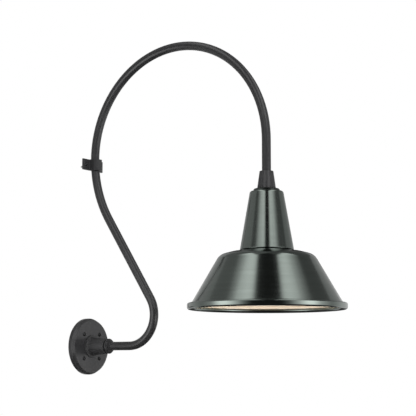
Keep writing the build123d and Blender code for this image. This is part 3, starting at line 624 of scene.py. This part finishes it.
# Lamps that no reflection shows: name, place from the target (towards the camera, right, up) and
# side in metres, and radiance.
SOFT_LAMPS = (
    ("key", (2.4, 3.0, 2.4), 1.6, 17.0),
    ("fill", (2.6, 0.0, -1.1), 1.2, 7.5),
)
for name, place, side_m, radiance in SOFT_LAMPS:
    lamp = bpy.data.lights.new(name, "AREA")
    lamp.size = side_m
    lamp.energy = pi * radiance * side_m**2
    holder = bpy.data.objects.new(name, lamp)
    offset = to_world @ Vector(place)
    holder.location = TARGET + offset
    holder.rotation_euler = offset.to_track_quat("Z", "Y").to_euler()
    holder.visible_glossy = False
    bpy.context.scene.collection.objects.link(holder)


card_look = Nodes("card")
level_node = card_look.add("ShaderNodeAttribute", {"attribute_name": "radiance"})
card_glow = card_look.add("ShaderNodeEmission", Strength=level_node.outputs["Fac"])
card_output = card_look.tree.nodes["Material Output"]
card_look.tree.links.new(card_glow.outputs[0], card_output.inputs["Surface"])
FLAG_COLUMNS = 120
FLAG_ROWS = 16


def radiance_at(azimuth, stops):
    """Radiance at an azimuth, straight from stop to stop."""
    for (start, level), (end, next_level) in zip(stops, stops[1:]):
        if start <= azimuth <= end:
            share = (azimuth - start) / (end - start)
            return level + (next_level - level) * share


def flag(name, stops, rises, radius):
    """Card on a sphere round the shade, which only reflections show."""
    first, last = stops[0][0], stops[-1][0]
    verts, faces, levels = [], [], []
    for j in range(FLAG_ROWS + 1):
        rise = radians(rises[0] + (rises[1] - rises[0]) * j / FLAG_ROWS)
        for i in range(FLAG_COLUMNS + 1):
            azimuth = first + (last - first) * i / FLAG_COLUMNS
            turn = radians(azimuth)
            outward = toward * cos(rise) * cos(turn) + sideways * cos(rise) * sin(turn)
            outward.z = sin(rise)
            verts.append(TARGET + outward * radius)
            levels.append(radiance_at(azimuth, stops))
    next_row = FLAG_COLUMNS + 1
    for j in range(FLAG_ROWS):
        for i in range(FLAG_COLUMNS):
            low = j * next_row + i
            faces.append((low, low + 1, low + next_row + 1, low + next_row))
    mesh = bpy.data.meshes.new(name)
    mesh.from_pydata(verts, [], faces)
    mesh.attributes.new("radiance", "FLOAT", "POINT").data.foreach_set("value", levels)
    mesh.materials.append(card_look.material)
    card = bpy.data.objects.new(name, mesh)
    bpy.context.scene.collection.objects.link(card)
    card.visible_camera = card.visible_diffuse = card.visible_transmission = False
    card.visible_shadow = card.visible_volume_scatter = False


# Azimuth from the camera's side, to the right, and radiance there, of the ring round the shade.
LOW_STOPS = (
    (-180, 0.05),
    (-169, 0.05),
    (-160, 0.7),
    (-120, 0.7),
    (-100, 0.5),
    (-80, 0.9),
    (-66, 3.6),
    (-56, 3.6),
    (-44, 2.0),
    (-31, 0.5),
    (-22, 0.03),
    (20, 0.03),
    (29, 0.3),
    (43, 1.8),
    (56, 3.9),
    (64, 3.9),
    (77, 1.5),
    (97, 0.6),
    (124, 1.1),
    (160, 0.7),
    (169, 0.05),
    (180, 0.05),
)
LEFT_STOPS = ((-180, 0.05), (-169, 0.05), (-166, 0.5), (-77, 0.5), (-71, 0.22), (0, 0.22))
RIGHT_STOPS = ((0, 0.22), (90, 0.22), (98, 0.5), (166, 0.5), (169, 0.05), (180, 0.05))
# Name, stops, range of elevation and radius in metres.
FLAGS = (
    ("flag_low", LOW_STOPS, (-30, 12), 1.6),
    ("flag_front", ((-34, 0.03), (34, 0.03)), (-6, 86), 5.2),
    ("flag_roof_left", ((-180, 0.33), (0, 0.33)), (35, 90), 5.6),
    ("flag_roof_right", ((0, 0.20), (180, 0.20)), (30, 90), 5.6),
    ("flag_left", LEFT_STOPS, (-8, 35), 5.8),
    ("flag_right", RIGHT_STOPS, (-8, 30), 5.8),
    ("flag_below", ((-180, 0.05), (180, 0.05)), (-90, -8), 5.8),
)
for card in FLAGS:
    flag(*card)

FLOOR_HEIGHT_M = -1.25
FLOOR_HALF_M = 25.0
# Where the camera sees the floor it is lifted, so that it is as pale as the backdrop and
# the light on it only draws the object's shadow.
FLOOR_LIFT = 0.62
FLOOR_COLOUR = (0.86, 0.86, 0.86)
FLOOR_SEEN_COLOUR = (0.48, 0.48, 0.48)
FLOOR_ROUGHNESS = 0.8
floor_mesh = bpy.data.meshes.new("floor")
floor_mesh.from_pydata(
    [
        (x * FLOOR_HALF_M, y * FLOOR_HALF_M, FLOOR_HEIGHT_M)
        for x, y in ((-1, -1), (1, -1), (1, 1), (-1, 1))
    ],
    [],
    [(0, 1, 2, 3)],
)
floor_look = Nodes("floor")
floor_seen = floor_look.add("ShaderNodeLightPath").outputs["Is Camera Ray"]
floor_lift = floor_look.add("ShaderNodeMapRange", Value=floor_seen, To_Max=FLOOR_LIFT)
floor_look.finish(
    Base_Color=floor_look.between(floor_seen, FLOOR_COLOUR, FLOOR_SEEN_COLOUR),
    Roughness=FLOOR_ROUGHNESS,
    Emission_Color=WHITE,
    Emission_Strength=floor_lift.outputs[0],
)
# The floor has an upper side only, so that it hides nothing when seen from below.
floor_side = floor_look.add("ShaderNodeNewGeometry").outputs["Backfacing"]
floor_gap = floor_look.add("ShaderNodeBsdfTransparent").outputs[0]
floor_one_sided = floor_look.add("ShaderNodeMixShader")
floor_sources = (floor_side, floor_look.shader.outputs[0], floor_gap)
for socket, source in zip(floor_one_sided.inputs, floor_sources):
    floor_look.tree.links.new(source, socket)
floor_output = floor_look.tree.nodes["Material Output"]
floor_look.tree.links.new(floor_one_sided.outputs[0], floor_output.inputs["Surface"])
floor_mesh.materials.append(floor_look.material)
floor = bpy.data.objects.new("floor", floor_mesh)
bpy.context.scene.collection.objects.link(floor)
floor.visible_glossy = False

# The world is white where the camera, a reflection or glass shows it, and dimmer as a light.
WORLD_DIFFUSE = 0.30
world = bpy.data.worlds.new("studio")
bpy.context.scene.world = world
world.use_nodes = True
tree = world.node_tree
path = tree.nodes.new("ShaderNodeLightPath")
shown = path.outputs["Is Camera Ray"]
for ray in ("Is Glossy Ray", "Is Transmission Ray"):
    either = tree.nodes.new("ShaderNodeMath")
    either.operation = "MAXIMUM"
    tree.links.new(shown, either.inputs[0])
    tree.links.new(path.outputs[ray], either.inputs[1])
    shown = either.outputs[0]
level = tree.nodes.new("ShaderNodeMapRange")
level.inputs["To Min"].default_value = WORLD_DIFFUSE
level.inputs["To Max"].default_value = 1.0
tree.links.new(shown, level.inputs["Value"])
background = tree.nodes["Background"]
background.inputs["Color"].default_value = WHITE
tree.links.new(level.outputs[0], background.inputs["Strength"])

bpy.context.scene.view_settings.view_transform = "Standard"
